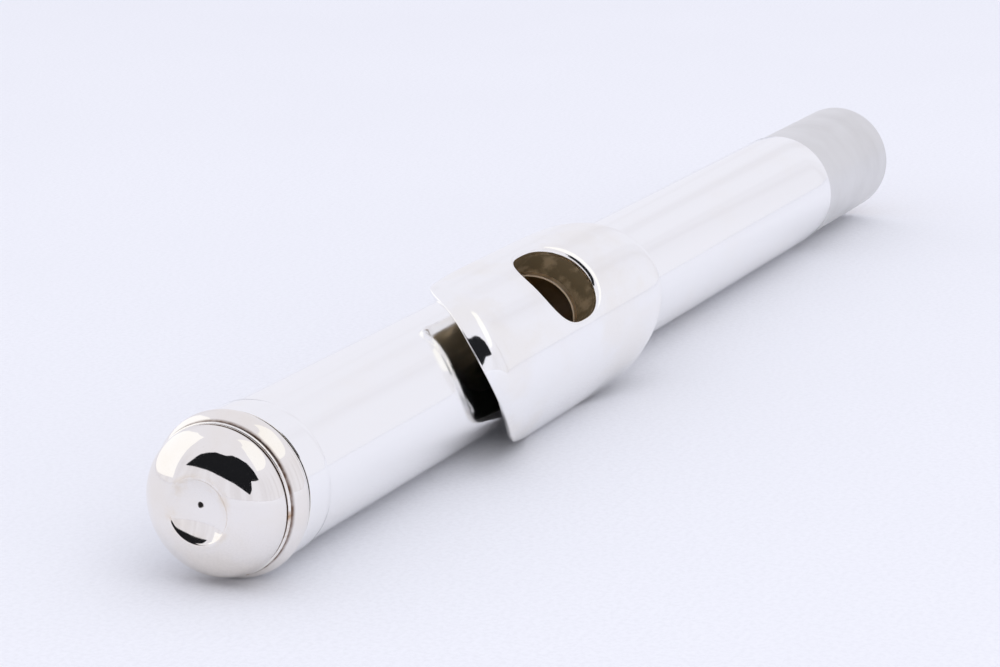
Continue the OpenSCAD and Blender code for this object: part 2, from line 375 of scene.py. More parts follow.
def saddle(s, w, crease=CREASE):
    """Place on the plate's outer face of a point s along and w across the flat sheet."""
    slant = (end_of(w + 0.05, s) - end_of(w - 0.05, s)) / 0.1
    past = SLOPE_LEN - (end_of(w, s) - np.abs(s)) / np.sqrt(1 + slant ** 2)
    x = (past + np.sqrt(past ** 2 + crease ** 2)) / 2
    off = (w - FADE_MID) / np.where(w < FADE_MID, FADE_BACK, FADE_LIP)
    fade = np.maximum(1 - off ** 2, 0) ** 1.5
    r = PLATE_R - (SLOPE * x + SLOPE_GAIN * x ** 2) * fade
    turn = PLATE_MID + w / PLATE_R
    return np.stack([HOLE_U + s, PLATE_AXIS[1] - r * np.sin(turn),
                     PLATE_AXIS[2] + r * np.cos(turn)], -1)


def away(s, w, step=0.03):
    """Outward direction of the sheet's thickness, taken over a soft crease so that it never folds."""
    du = saddle(s + step, w, SOFT_CREASE) - saddle(s - step, w, SOFT_CREASE)
    dw = saddle(s, w + step, SOFT_CREASE) - saddle(s, w - step, SOFT_CREASE)
    n = np.cross(dw, du)
    n /= np.linalg.norm(n, axis=-1, keepdims=True)
    out = (saddle(s, w) - PLATE_AXIS) * [0, 1, 1]
    return n * np.sign((n * out).sum(-1, keepdims=True))


print(f"the plate spans {math.degrees(PLATE_BACK):.0f} to {math.degrees(PLATE_LIP):.0f} degrees")

# %% [markdown]
# ## The plate's two outlines
#
# The sheet has two closed outlines, the hole's and its own. Both get the same number of points, so that
# rows can run from one to the other. The hole leans, so its oval is carried straight up as a post to
# where it meets the bent sheet. The plate's own outline is walked at an even pace, and its corners are
# softened by averaging each point with its neighbours.

# %% The two outlines
AROUND = 320
turn_round = np.linspace(0, 2 * math.pi, AROUND, endpoint=False)


def post_on(angle, grow, radius, axis):
    """Where the hole's leaning post, grown all round, meets a cylinder about this axis."""
    x, across = oval(angle, HOLE_LEN + 2 * grow, HOLE_WID + 2 * grow, HOLE_POWER)
    height = axis @ UP + np.sqrt(radius ** 2 - (across - axis @ ACROSS) ** 2)
    return np.outer(x + HOLE_U, ALONG) + np.outer(across, ACROSS) + np.outer(height, UP)


def on_sheet(points):
    """The flat sheet's s and w of these points."""
    y, z = points[:, 1] - PLATE_AXIS[1], points[:, 2] - PLATE_AXIS[2]
    return points[:, 0] - HOLE_U, (np.arctan2(-y, z) - PLATE_MID) * PLATE_R


def evenly(s, w, count):
    """Points at an even pace round a closed outline."""
    s, w = np.append(s, s[0]), np.append(w, w[0])
    walked = np.concatenate([[0], np.cumsum(np.hypot(np.diff(s), np.diff(w)))])
    pace = walked[-1] * np.arange(count) / count
    return np.interp(pace, walked, s), np.interp(pace, walked, w)


def outline_on_sheet(corner=0.8):
    """The plate's own outline from the middle of its far end, with its corners softened."""
    lip_side = PLATE_HALF * np.sin(np.linspace(0, math.pi / 2, 400))
    back_side = -PLATE_HALF * np.sin(np.linspace(math.pi / 2, 0, 400))
    w = np.concatenate([lip_side, lip_side[::-1], back_side[::-1], back_side])
    side = np.repeat([1, -1, -1, 1], 400)
    s, w = evenly(end_of(w, side) * side, w, 4800)
    width = int(corner / (np.hypot(s[1] - s[0], w[1] - w[0])))
    soft = [np.convolve(np.pad(a, width, mode="wrap"), np.ones(width) / width, "same")[width:-width]
            for a in (s, w)]
    return evenly(*soft, AROUND)


rim_s, rim_w = outline_on_sheet()
print(f"the plate's outline is {np.ptp(rim_s):.1f} by {np.ptp(rim_w):.1f} mm on the flat")

# %% [markdown]
# ## The plate's mesh
#
# The easy way is to cut an oval out of a bent sheet, but a cut leaves long thin faces that a mirror
# finish would show. Here the rows of points run from the hole's edge out to the plate's edge instead,
# like ripples, so the mesh follows both outlines and stays smooth. The sheet's thickness and its
# rounded edges are part of the same closed section, and its inner face gets a finish of its own.

# %% Lip plate
HOLE_EDGE, RIM_EDGE, RIM_T, FACE_ROWS = 0.6, 0.12, 0.52, 120


def inset(s, w, by):
    """An outline moved inwards on the flat sheet."""
    ds, dw = np.roll(s, -1) - np.roll(s, 1), np.roll(w, -1) - np.roll(w, 1)
    size = np.hypot(ds, dw)
    return s - by * dw / size, w + by * ds / size


def plate_rows():
    """Rows of the sheet's closed section: outer face, cut rim, inner face, hole wall and its edge."""
    start_s, start_w = on_sheet(post_on(-turn_round, HOLE_EDGE, PLATE_R, PLATE_AXIS))
    last_s, last_w = inset(rim_s, rim_w, RIM_EDGE)
    share = 1 - (1 - np.linspace(0, 1, FACE_ROWS)) ** 1.5
    face = [((1 - t) * start_s + t * last_s, (1 - t) * start_w + t * last_w) for t in share]
    rows = [saddle(s, w) for s, w in face]
    rim, n = rows[-1], away(last_s, last_w)
    out = np.cross(np.roll(rim, -1, 0) - np.roll(rim, 1, 0), n)
    out /= np.linalg.norm(out, axis=1, keepdims=True)
    out *= np.sign((out * (rim - rows[-4])).sum(1, keepdims=True))
    for depth, turns in ((RIM_EDGE, (18, 36, 54, 72, 90)), (RIM_T - RIM_EDGE, (90, 112, 135, 158))):
        for turn in np.radians(turns):
            rows.append(rim - n * depth + RIM_EDGE * (math.cos(turn) * n + math.sin(turn) * out))
    outer_count = len(rows)
    for (s, w), t in list(zip(face, share))[::-3]:
        thick = PLATE_T - (PLATE_T - RIM_T) * t ** 6
        rows.append(saddle(s, w) - thick * away(s, w))
    foot = post_on(-turn_round, 0, PLATE_R - PLATE_T, PLATE_AXIS)
    top = post_on(-turn_round, 0, PLATE_R, PLATE_AXIS) - UP * HOLE_EDGE
    rows += [foot, (foot + top) / 2, top]
    for turn in np.radians(np.linspace(80, 8, 9)):
        ring = post_on(-turn_round, HOLE_EDGE * (1 - math.sin(turn)), PLATE_R, PLATE_AXIS)
        rows.append(ring - UP * HOLE_EDGE * (1 - math.cos(turn)))
    return np.array(rows), outer_count


rows, outer_count = plate_rows()
plate = make_mesh("lip_plate_sheet", rows, grid_faces(len(rows), AROUND), sharp_deg=60)
row_of_face = np.repeat(np.arange(len(rows)), AROUND)
is_under = (row_of_face >= outer_count) & (row_of_face < len(rows) - 12)
plate.data.polygons.foreach_set("material_index", is_under.astype(np.int32))
print(f"lip plate: {len(plate.data.polygons)} faces, {face_out(plate) * 1e9:.0f} mm3")

# %% [markdown]
# ## The riser
#
# The riser is the little chimney between tube and plate. Its inside is the hole's own oval, and its
# outside flares at the foot, where the maker filed the solder smooth. Its top follows the plate's inside
# and its foot follows the tube, and both are curved, so a straight extrusion would not meet either. Each
# row of points is placed between the two curved ends instead.

# %% Riser
TUBE_AXIS = np.zeros(3)
RISER_WALL = 0.9


def chimney(grow, share, flare=0.0):
    """One row of the riser at this share of its height, from the tube up to the plate."""
    grow = grow + flare * (1 - share) ** 5
    foot = post_on(turn_round, grow, TUBE_R - 0.02, TUBE_AXIS)
    head = post_on(turn_round, grow, PLATE_R - PLATE_T + 0.06, PLATE_AXIS)
    return foot + (head - foot) * share


inner = [chimney(0.015, share) for share in np.linspace(1, 0, 9)]
outer = [chimney(RISER_WALL, share, 0.55) for share in np.linspace(0, 1, 25)]
sill = post_on(turn_round, 0.015, BORE_R + 0.02, TUBE_AXIS)
rows = np.array(inner + [sill] + outer)
riser = make_mesh("riser_chimney", rows, grid_faces(len(rows), AROUND), sharp_deg=60)
print(f"riser: {len(riser.data.polygons)} faces, {face_out(riser) * 1e9:.0f} mm3")

# %% [markdown]
# ## Wires that follow a path
#
# Two pieces follow a path: the solder round the riser's foot and the thread on the stopper's rod.
# Geometry Nodes make both, by carrying a small section along a curve, with the sizes as named inputs.
# Each tree ends in Realize Instances and Set Material, and the result is turned into a plain mesh.

# %% Geometry Nodes helper
def node_tree(name, sizes):
    """A new Geometry Nodes tree with a geometry input and output and these named float inputs."""
    tree = bpy.data.node_groups.new(name, "GeometryNodeTree")
    tree.interface.new_socket("Geometry", in_out="INPUT", socket_type="NodeSocketGeometry")
    for label in sizes:
        tree.interface.new_socket(label, in_out="INPUT", socket_type="NodeSocketFloat")
    tree.interface.new_socket("Finish", in_out="INPUT", socket_type="NodeSocketMaterial")
    tree.interface.new_socket("Geometry", in_out="OUTPUT", socket_type="NodeSocketGeometry")
    return tree, tree.nodes.new("NodeGroupInput").outputs


def end_tree(tree, given, shape):
    """Makes instances real, gives the shape its finish and hands it to the tree's output."""
    whole = tree.nodes.new("GeometryNodeRealizeInstances")
    coat = tree.nodes.new("GeometryNodeSetMaterial")
    result = tree.nodes.new("NodeGroupOutput")
    tree.links.new(shape, whole.inputs["Geometry"])
    tree.links.new(whole.outputs["Geometry"], coat.inputs["Geometry"])
    tree.links.new(given["Finish"], coat.inputs["Material"])
    tree.links.new(coat.outputs["Geometry"], result.inputs["Geometry"])


def swept(tree, path, section):
    """The mesh of a section's curve carried along a path's curve, with its ends closed."""
    sweep = tree.nodes.new("GeometryNodeCurveToMesh")
    sweep.inputs["Fill Caps"].default_value = True
    tree.links.new(path.outputs["Curve"], sweep.inputs["Curve"])
    tree.links.new(section.outputs["Curve"], sweep.inputs["Profile Curve"])
    return sweep.outputs["Mesh"]


def run_tree(piece, tree, sizes, finish):
    """Runs the tree on a piece with these sizes, and leaves a plain mesh."""
    modifier = piece.modifiers.new(tree.name, "NODES")
    modifier.node_group = tree
    for item in tree.interface.items_tree:
        if item.in_out == "INPUT" and item.name in sizes:
            modifier[item.identifier] = sizes[item.name]
        if item.in_out == "INPUT" and item.name == "Finish":
            modifier[item.identifier] = finish
    baked(piece)
    piece.data.polygons.foreach_set("use_smooth", [True] * len(piece.data.polygons))
    piece.data.set_sharp_from_angle(angle=math.radians(50))
    print(f"{piece.name}: {len(piece.data.polygons)} faces from its nodes")
    return piece

# %% [markdown]
# ## Writing finishes as sums
#
# A finish is a tree of small nodes, and most of them are arithmetic. Wrapping a socket in a small class
# lets the arithmetic be written as Python sums, and each sign adds the Math node it stands for. Every
# finish reads Object coordinates, turned here into lengths in millimetres: how far along the tube a
# point is, how far it is from the axis, and how far from a chosen spot.

# %% Socket class and node method
class Value:
    """A shader socket that takes part in sums."""

    def __init__(self, tree, socket):
        self.tree, self.socket = tree, socket

    def math(self, operation, first, second):
        return self.tree.node("ShaderNodeMath", {"operation": operation}, {0: first, 1: second})

    def __add__(self, other):
        return self.math("ADD", self, other)

    def __sub__(self, other):
        return self.math("SUBTRACT", self, other)

    def __rsub__(self, other):
        return self.math("SUBTRACT", other, self)

    def __mul__(self, other):
        return self.math("MULTIPLY", self, other)

    def __pow__(self, other):
        return self.math("POWER", self, other)

    __radd__, __rmul__ = __add__, __mul__

    def step(self, low, high):
        """0 at low and beyond it, 1 at high and beyond it, with an easy slope between."""
        return self.tree.node("ShaderNodeMapRange", {"interpolation_type": "SMOOTHSTEP", "clamp": True},
                              {0: self, 1: low, 2: high, 3: 0.0, 4: 1.0})


class Tree:
    """A tree of shader nodes, with one method that adds any node to it."""

    def __init__(self, owner):
        owner.use_nodes = True
        self.nodes, self.links = owner.node_tree.nodes, owner.node_tree.links

    def node(self, kind, settings=None, values=None, out=0):
        """Adds a node, sets it up, feeds its sockets, and gives back one of its outputs."""
        node = self.nodes.new(kind)
        for label, value in (settings or {}).items():
            setattr(node, label, value)
        for label, value in (values or {}).items():
            if isinstance(value, Value):
                self.links.new(value.socket, node.inputs[label])
            else:
                node.inputs[label].default_value = value
        return Value(self, node.outputs[out])

    def mix(self, share, first, second):
        """Mixes two colours."""
        first, second = [c if isinstance(c, Value) else (*c, 1) for c in (first, second)]
        return self.node("ShaderNodeMix", {"data_type": "RGBA"}, {0: share, 6: first, 7: second}, out=2)


class Finish(Tree):
    """A new material, its shader and the lengths its patterns are measured by."""

    def __init__(self, name, **constants):
        self.material = bpy.data.materials.new(name)
        super().__init__(self.material)
        self.shader = self.nodes["Principled BSDF"]
        for label, value in constants.items():
            self.shader.inputs[label.replace("_", " ")].default_value = value
        self.place = self.node("ShaderNodeTexCoord", out="Object")
        apart = self.nodes.new("ShaderNodeSeparateXYZ")
        self.links.new(self.place.socket, apart.inputs[0])
        x, y, z = [Value(self, socket) for socket in apart.outputs]
        self.u = (x - SEAM_X) * (1 / MM)
        self.r = (((y - AXIS_Y) ** 2 + (z - AXIS_Z) ** 2) ** 0.5) * (1 / MM)

    def reach(self, u, side, high):
        """Distance in mm from a spot that lies this far along, beside and above the axis."""
        spot = (SEAM_X + u * MM, AXIS_Y + side * MM, AXIS_Z + high * MM)
        metres = self.node("ShaderNodeVectorMath", {"operation": "DISTANCE"},
                           {0: self.place, 1: spot}, out="Value")
        return metres * (1 / MM)

    def noise(self, scale, stretch=(1, 1, 1), detail=4.0, rough=0.55):
        """Noise with its cells per millimetre, stretched by these factors."""
        spread = tuple(scale * f / MM for f in stretch)
        place = self.node("ShaderNodeMapping", None, {"Vector": self.place, "Scale": spread})
        return self.node("ShaderNodeTexNoise", None,
                         {"Vector": place, "Scale": 1.0, "Detail": detail, "Roughness": rough})

    def relief(self, height, depth_mm, strength=1.0):
        """A bump of this depth, ready for Normal."""
        return self.node("ShaderNodeBump", None,
                         {"Height": height, "Distance": depth_mm * MM, "Strength": strength})

    def feed(self, **values):
        """Links values to the shader's own sockets."""
        for label, value in values.items():
            self.links.new(value.socket, self.shader.inputs[label.replace("_", " ")])
        return self.material


def shaded(colour, factors):
    """The colour with its red, green and blue multiplied by these."""
    return tuple(c * f for c, f in zip(colour, factors))


print("a finish is written as sums of", Value.__name__, "sockets")

# %% [markdown]
# ## Polished silver
#
# Real polish is never even. It has hair-fine scratches that mostly run round the turned parts and along
# the tube, a slow unevenness from the buffing wheel, and a faint warm film where fingers do not rub. All
# three are kept very weak, because a mirror shows a bump of a hundredth of a millimetre. On the crown,
# masks on a point's place add brown tarnish where hands never reach in the grooves beside the bead,
# deepened there by painted shade, a warmer ring inside the dish, and the small centre pit of the
# spinning tool, whose dark inside is painted shade.

# %% Polished crown finish
def polished(name, tint, rough, scratch_stretch, waviness):
    """Mirror silver: base tint, roughness, direction of the fine scratches and waviness in mm."""
    finish = Finish(name, Metallic=1.0)
    film = finish.noise(0.22, (0.6, 1, 1), 3).step(0.4, 0.7)
    hair = finish.noise(9, scratch_stretch, 6, 0.7)
    slow = finish.noise(0.35, (0.35, 1, 1), 2)
    # Brown tarnish in the grooves beside the bead, darkened further by painted shade
    groove_tarnish_and_shade = finish.u.step(-0.42, -0.2) * (1 - finish.u.step(0.34, 0.6)) * finish.r.step(5, 5.3)
    groove_tarnish_and_shade = groove_tarnish_and_shade * (0.7 + 0.3 * finish.noise(1.6, (1, 1, 1), 3).step(0.3, 0.7))
    colour = finish.mix(film * 0.7, tint, shaded(tint, (0.97, 0.945, 0.90)))
    dish = finish.r.step(1.5, 2.3) * (1 - finish.r.step(2.55, 2.95)) * (1 - finish.u.step(-2.6, -2.2))
    dish = dish * finish.noise(0.5, (1, 1, 1), 5, 0.7).step(0.42, 0.66)
    colour = finish.mix(dish * 0.75, colour, shaded(tint, (0.93, 0.87, 0.78)))
    grain = finish.noise(4, (1, 1, 1), 5, 0.75)
    colour = finish.mix(grain.step(0.5, 0.85) * 0.35, colour, shaded(tint, (0.9, 0.86, 0.8)))
    # The spinning tool's centre pit: a dented spot whose dark inside is painted shade
    shaded_pit = 1 - finish.reach(-2.45, 0.1, 0.35).step(0.16, 0.27)
    # The grooves get their tarnish and painted shade
    colour = finish.mix(groove_tarnish_and_shade, colour, (0.12, 0.055, 0.025))
    # Painted shade inside the centre pit
    colour = finish.mix(shaded_pit, colour, (0.02, 0.018, 0.016))
    gloss = rough + hair.step(0.52, 0.8) * 0.05 + film * 0.02
    gloss = gloss + groove_tarnish_and_shade * 0.35 + dish * 0.06 + shaded_pit * 0.3
    bump = finish.relief(hair * 0.12 + slow - shaded_pit * 20, waviness)
    return finish.feed(Base_Color=colour, Roughness=gloss, Normal=bump)


SILVER = (0.955, 0.95, 0.94)
crown_silver = polished("crown_silver", (0.895, 0.865, 0.83), 0.04, (1, 0.15, 0.15), 0.003)
plate_silver = polished("plate_silver", SILVER, 0.07, (0.3, 0.8, 0.8), 0.006)
print("polished finishes:", crown_silver.name, plate_silver.name)

# %% [markdown]
# ## The tube's finish
#
# The tube is one piece with three finishes. Its outside was drawn and then polished lengthwise, which
# leaves long soft streaks. Its tenon is never polished: it is dull and grey from being pushed in and out
# of the body. Its bore is dull and tan under the film that breath leaves there, and that tan is made
# lighter as painted light, for the light that comes in through the hole. Masks on the distance
# along the tube and from the axis choose between them.

# %% Tube finish
def tube_finish():
    """Streaked silver outside, a dull grey tenon and a tan bore lightened as painted light."""
    finish = Finish("tube_silver", Metallic=1.0)
    tenon = finish.u.step(STEP - 0.12, STEP + 0.05)
    inside = 1 - finish.r.step(5.5, 5.62)
    streak = finish.noise(1.1, (0.03, 1, 1), 4)
    hair = finish.noise(8, (0.04, 1, 1), 5, 0.7)
    film = finish.noise(0.16, (0.5, 1, 1), 4).step(0.48, 0.78)
    rubs = finish.noise(0.25, (1, 0.6, 0.6), 3).step(0.3, 0.8)
    silver = finish.mix(film * 0.45, SILVER, (0.935, 0.905, 0.855))
    grey = finish.mix(rubs * 0.6, (0.75, 0.745, 0.735), (0.66, 0.65, 0.635))
    colour = finish.mix(tenon, silver, grey)
    # The bore's tan film, made lighter than the film alone as painted light from the hole
    colour = finish.mix(inside, colour, finish.mix(film, (0.78, 0.64, 0.45), (0.60, 0.46, 0.30)))
    gloss = 0.085 + hair.step(0.5, 0.8) * 0.06 + film * 0.03
    gloss = gloss + (tenon * (0.26 + rubs * 0.06)) + inside * 0.25
    bump = finish.relief(streak + hair * 0.1, 0.008)
    return finish.feed(Base_Color=colour, Roughness=gloss, Normal=bump, Metallic=1 - inside * 0.85)


tube_silver = tube_finish()
print("tube finish:", tube_silver.name)

# %% [markdown]
# ## Dull and brown metal
#
# The riser, the solder, the wire bead and the plate's inner face are never rubbed clean. Breath and air
# turn them brown in cloudy patches. The screw and the discs of the stopper are brass, dulled in the
# same way. Where the film is thick it hides the metal, so those finishes are only partly metallic.

# %% Tarnished silver and brass
def tarnished(name, pale, dark, rough, cover, metal=1.0):
    """Metal under a brown film that covers this share of it in cloudy patches."""
    finish = Finish(name, Metallic=metal)
    cloud = finish.noise(0.55, (1, 1, 1), 6, 0.6)
    grain = finish.noise(5, (1, 1, 1), 4, 0.6)
    patch = cloud.step(0.62 - cover * 0.4, 0.82 - cover * 0.4)
    colour = finish.mix(patch, pale, dark)
    colour = finish.mix(grain.step(0.6, 0.85) * 0.4, colour, tuple(c * 0.6 for c in dark))
    gloss = rough + patch * 0.15 + grain * 0.06
    return finish.feed(Base_Color=colour, Roughness=gloss, Normal=finish.relief(grain + cloud, 0.006))


wire_finish = tarnished("bead_silver", (0.93, 0.90, 0.85), (0.46, 0.28, 0.15), 0.12, 0.25)
solder_finish = tarnished("solder", (0.60, 0.52, 0.42), (0.22, 0.14, 0.08), 0.3, 0.8)
riser_finish = tarnished("riser_silver", (0.44, 0.34, 0.21), (0.20, 0.15, 0.08), 0.4, 0.7, 0.45)
under_finish = tarnished("plate_underside", (0.38, 0.29, 0.20), (0.24, 0.17, 0.11), 0.42, 0.6, 0.2)
brass_finish = tarnished("dull_brass", (0.80, 0.60, 0.30), (0.46, 0.30, 0.14), 0.24, 0.5)
print("dull finishes:", wire_finish.name, solder_finish.name, riser_finish.name, under_finish.name,
      brass_finish.name)

# %% [markdown]
# ## Cork
#
# Cork is cells, patches and pores. The cells come from a Voronoi pattern, the patches from a slow noise,
# and the pores are dark streaks that run across the plug, as they do in bark.

# %% Cork finish
def cork_finish():
    """Cork in two browns, with fine cells and dark pores."""
    finish = Finish("stopper_cork", Roughness=0.8)
    cells = finish.node("ShaderNodeTexVoronoi", {"feature": "F1"},
                        {"Vector": finish.place, "Scale": 3.2 / MM}, out="Distance")
    patch = finish.noise(0.9, (0.5, 1, 1), 5, 0.6)
    pores = 1 - finish.noise(1.5, (2.2, 0.7, 0.7), 3).step(0.30, 0.40)
    colour = finish.mix(patch.step(0.3, 0.7), (0.60, 0.38, 0.20), (0.72, 0.50, 0.30))
    colour = finish.mix(cells.step(0.1, 0.6) * 0.35, colour, (0.46, 0.27, 0.13))
    colour = finish.mix(pores, colour, (0.16, 0.08, 0.04))
    height = patch * 0.4 + (1 - pores) + cells * 0.3
    return finish.feed(Base_Color=colour, Normal=finish.relief(height, 0.05))


cork = cork_finish()
print("finishes so far:", len(bpy.data.materials))

# %% [markdown]
# ## Solder at the riser's foot
#
# Silver solder leaves a thin fillet all round the riser's foot. The foot's outline becomes a closed
# curve, and a small round section is carried along it.

# %% Solder fillet
riser_foot = post_on(turn_round, RISER_WALL + 0.5, TUBE_R + 0.02, TUBE_AXIS)
fillet = make_mesh("riser_solder", riser_foot, [])
fillet.data.edges.add(AROUND)
fillet.data.edges.foreach_set("vertices", [v for k in range(AROUND) for v in (k, (k + 1) % AROUND)])

tree, given = node_tree("wire_on_path", ["Thickness"])
path = tree.nodes.new("GeometryNodeMeshToCurve")
wire = tree.nodes.new("GeometryNodeCurvePrimitiveCircle")
wire.inputs["Resolution"].default_value = 12
tree.links.new(given["Geometry"], path.inputs["Mesh"])
tree.links.new(given["Thickness"], wire.inputs["Radius"])
end_tree(tree, given, swept(tree, path, wire))
run_tree(fillet, tree, {"Thickness": 0.16 * MM}, solder_finish)
face_out(fillet)

# %% [markdown]
# ## The stopper and its screw
#
# Inside the tube, a threaded rod fixed to the crown draws the stopper. The stopper is a silver
# reflector, a cork, a disc and a nut. They only show through the open end, but their edges still catch
# light there, so each disc has its corners broken and the nut has six flats. Each takes its place and
# length from the fixed model.

# %% Cork and discs
def extent(node):
    """Start, end and radius of a round node, in millimetres."""
    low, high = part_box(node)
    return (low.x - SEAM_X) / MM, (high.x - SEAM_X) / MM, (high.z - low.z) / 2 / MM


def disc(name, node, hole_r, edge, swell=0.0):
    """A turned disc with broken edges, and a swelling between them for cork."""
    start, end, radius = extent(node)
    t = np.linspace(0, 1, 13)
    side = [(start + edge + (end - start - 2 * edge) * k, radius - swell * (2 * k - 1) ** 2) for k in t]
    section = [(start, hole_r), (start, radius - swell - edge), *side, (end, radius - swell - edge)]
    section += [(end, hole_r)]
    return turned(name, section, around=192)


ROD_R = extent("stopper_rod")[2]
cork_piece = disc("stopper_cork_plug", "head_cork", ROD_R, 0.25, 0.12)
backing = disc("stopper_backing_disc", "cork_plate", ROD_R, 0.12)
reflector = disc("stopper_reflector", "reflector_plate", 0, 0.12)
bush = disc("crown_screw_bush", "crown_bush", ROD_R + 0.05, 0.2)

# %% [markdown]
# ## The nut
#
# A nut is a hexagon whose corners were turned off by a cone. Going round it, the distance to the flat
# follows from the angle, and the chamfer is deeper the further a point lies out towards a corner.

# %% Nut
def nut_piece():
    """A hexagon cut across a cone, as a turned nut is, with its bore."""
    start, end, _ = extent("cork_nut")
    low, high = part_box("cork_nut")
    corner_r = max(high.y - low.y, high.z - low.z) / 2 / MM
    flat_r = corner_r * math.cos(math.pi / 6)
    t = np.linspace(0, 2 * math.pi, 216, endpoint=False)
    near_flat = np.abs((t + math.pi / 6) % (math.pi / 3) - math.pi / 6)
    hexagon = flat_r / np.cos(math.pi / 6 - near_flat)
    turn = t if high.z - low.z > high.y - low.y else t + math.pi / 6
    chamfer = np.maximum(hexagon - flat_r - 0.02, 0) * math.tan(math.radians(30))
    bore, face = np.full_like(t, ROD_R + 0.05), np.full_like(t, flat_r - 0.1)
    rims = [(start, bore), (start, face), (start + chamfer, hexagon), (end - chamfer, hexagon),
            (end, face), (end, bore)]
    grid = np.array([np.stack(np.broadcast_arrays(u, r * np.sin(turn), r * np.cos(turn)), -1)
                     for u, r in rims])
    piece = make_mesh("stopper_nut", grid, grid_faces(len(rims), len(t)), sharp_deg=25)
    face_out(piece)
    return piece


nut = nut_piece()
print("nut faces:", len(nut.data.polygons))

# %% [markdown]
# ## The rod's thread
#
# A thread is one ridge that follows a helix, so Geometry Nodes wind a spiral curve and carry a small
# three-sided section along it. The pitch is the one that draws the stopper when the crown is turned. The
# plain core is turned, and the ridge sits on it.

# %% Rod and thread
PITCH = 0.7
rod_start, rod_end, _ = extent("stopper_rod")
core_r, tip_r = ROD_R - 0.2, ROD_R - 0.35
core = turned("stopper_rod_core", [(rod_start, 0), (rod_start, tip_r), (rod_start + 0.2, core_r),
                                   (rod_end - 0.2, core_r), (rod_end, tip_r), (rod_end, 0)], 96)

tree, given = node_tree("thread", ["Turns", "Radius", "Length", "Ridge"])
helix = tree.nodes.new("GeometryNodeCurveSpiral")
helix.inputs["Resolution"].default_value = 40
section = tree.nodes.new("GeometryNodeCurvePrimitiveCircle")
section.inputs["Resolution"].default_value = 3
lay = tree.nodes.new("GeometryNodeTransform")
lay.inputs["Rotation"].default_value = (0, math.radians(90), 0)
lay.inputs["Translation"].default_value = (SEAM_X + (rod_start + 0.25) * MM, AXIS_Y, AXIS_Z)
for source, target, socket in (("Turns", helix, "Rotations"), ("Radius", helix, "Start Radius"),
                               ("Radius", helix, "End Radius"), ("Length", helix, "Height"),
                               ("Ridge", section, "Radius")):
    tree.links.new(given[source], target.inputs[socket])
tree.links.new(swept(tree, helix, section), lay.inputs["Geometry"])
end_tree(tree, given, lay.outputs["Geometry"])
thread = make_mesh("stopper_rod_thread", [(0, 0, 0)], [])
thread_len = rod_end - rod_start - 0.6
run_tree(thread, tree, {"Turns": thread_len / PITCH, "Radius": (ROD_R - 0.22) * MM,
                        "Length": thread_len * MM, "Ridge": 0.2 * MM}, brass_finish)
face_out(thread)

# %% [markdown]
# ## Riding on the fixed model
#
# Each piece now takes its finish, hides the fixed piece it stands for, and rides on a body. The crown
# pieces turn with the crown, and the stopper pieces slide along the tube as the crown's screw draws them.

# %% Finishes and bodies
def settle(piece, body, finish, slot, *nodes):
    """Gives the piece its finishes and its body, and hides the fixed nodes it stands for."""
    if finish:
        piece.data.materials.clear()
    for one in finish or ():
        piece.data.materials.append(one)
    if nodes:
        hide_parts(*nodes)
    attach(piece, body)


settle(tube, "head", [tube_silver], "silver_plate", "head_tube")
settle(band, "head", [tube_silver], "silver_plate", "crown_band")
settle(plate, "head", [plate_silver, under_finish], "silver_plate", "lip_plate")
settle(riser, "head", [riser_finish], "tarnished_silver", "riser")
settle(fillet, "head", None, "tarnished_silver")
settle(cap, "crown", [crown_silver], "silver_plate", "crown_cap")
settle(bead, "crown", [wire_finish], "tarnished_silver", "crown_bead")
settle(flange, "crown", [crown_silver], "silver_plate", "crown_flange")
settle(bush, "crown", [brass_finish], "brass", "crown_bush")
settle(core, "stopper", [brass_finish], "brass", "stopper_rod")
settle(thread, "stopper", None, "brass")
settle(nut, "stopper", [brass_finish], "brass", "cork_nut")
settle(backing, "stopper", [brass_finish], "brass", "cork_plate")
settle(cork_piece, "stopper", [cork], "cork", "head_cork")
settle(reflector, "stopper", [plate_silver], "silver_plate", "reflector_plate")

# %% [markdown]
# ## A cloth and a white tent
#
# The head joint lies on a pale bluish cloth, wide enough that no edge of it shows. The cloth has a slow
# change of tone, a fine weave in relief and a fine grain in its colour, so that it never looks like
# plain paint.

# %% Cloth
def cloth_finish(name, colour, rough):
    """A matt woven surface of nearly one colour."""
    finish = Finish(name, Roughness=rough)
    tone = finish.noise(0.02, (1, 1, 1), 3).step(0.3, 0.7)
    tint = finish.mix(tone, colour, shaded(colour, (0.985, 0.985, 0.985)))
    weave = finish.noise(1.4, (1, 1, 1), 4)
    grain = finish.noise(2.4, (1, 1, 1), 3, 0.7).step(0.35, 0.7)
    tint = finish.mix(grain, tint, shaded(colour, (0.945, 0.945, 0.945)))
    return finish.feed(Base_Color=tint, Normal=finish.relief(weave, 0.05, 0.6))


cloth_mesh = bpy.data.meshes.new("cloth")
REACH = 4.0
corners = [(-REACH, -REACH, 0), (REACH, -REACH, 0), (REACH, REACH, 0), (-REACH, REACH, 0)]
cloth_mesh.from_pydata(corners, [], [(0, 1, 2, 3)])
cloth = bpy.data.objects.new("cloth", cloth_mesh)
bpy.context.scene.collection.objects.link(cloth)
cloth_mesh.materials.append(cloth_finish("cloth", (0.86, 0.87, 0.905), 0.95))
cloth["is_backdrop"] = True
print(f"the cloth is {2 * REACH:.0f} m square")

# %% [markdown]
# ## Cards for the silver to reflect
#
# What stands round the silver matters more than the lamps, because silver shows it. Nearly everything it
# reflects is white, and three curved cards break that up. A dark opening above the viewer draws the dark
# patches that make the crown look like metal, and a bright window on each side draws the highlights on
# its dome. Each card lies between two border lines, and only reflections can see it.

# %% Cards that only reflections see
def toward(azimuth, elevation):
    """Direction with azimuth from -X towards -Y, in degrees."""
    a, e = np.radians(azimuth), np.radians(elevation)
    return np.stack([-np.cos(a) * np.cos(e), -np.sin(a) * np.cos(e), np.sin(e)], -1)


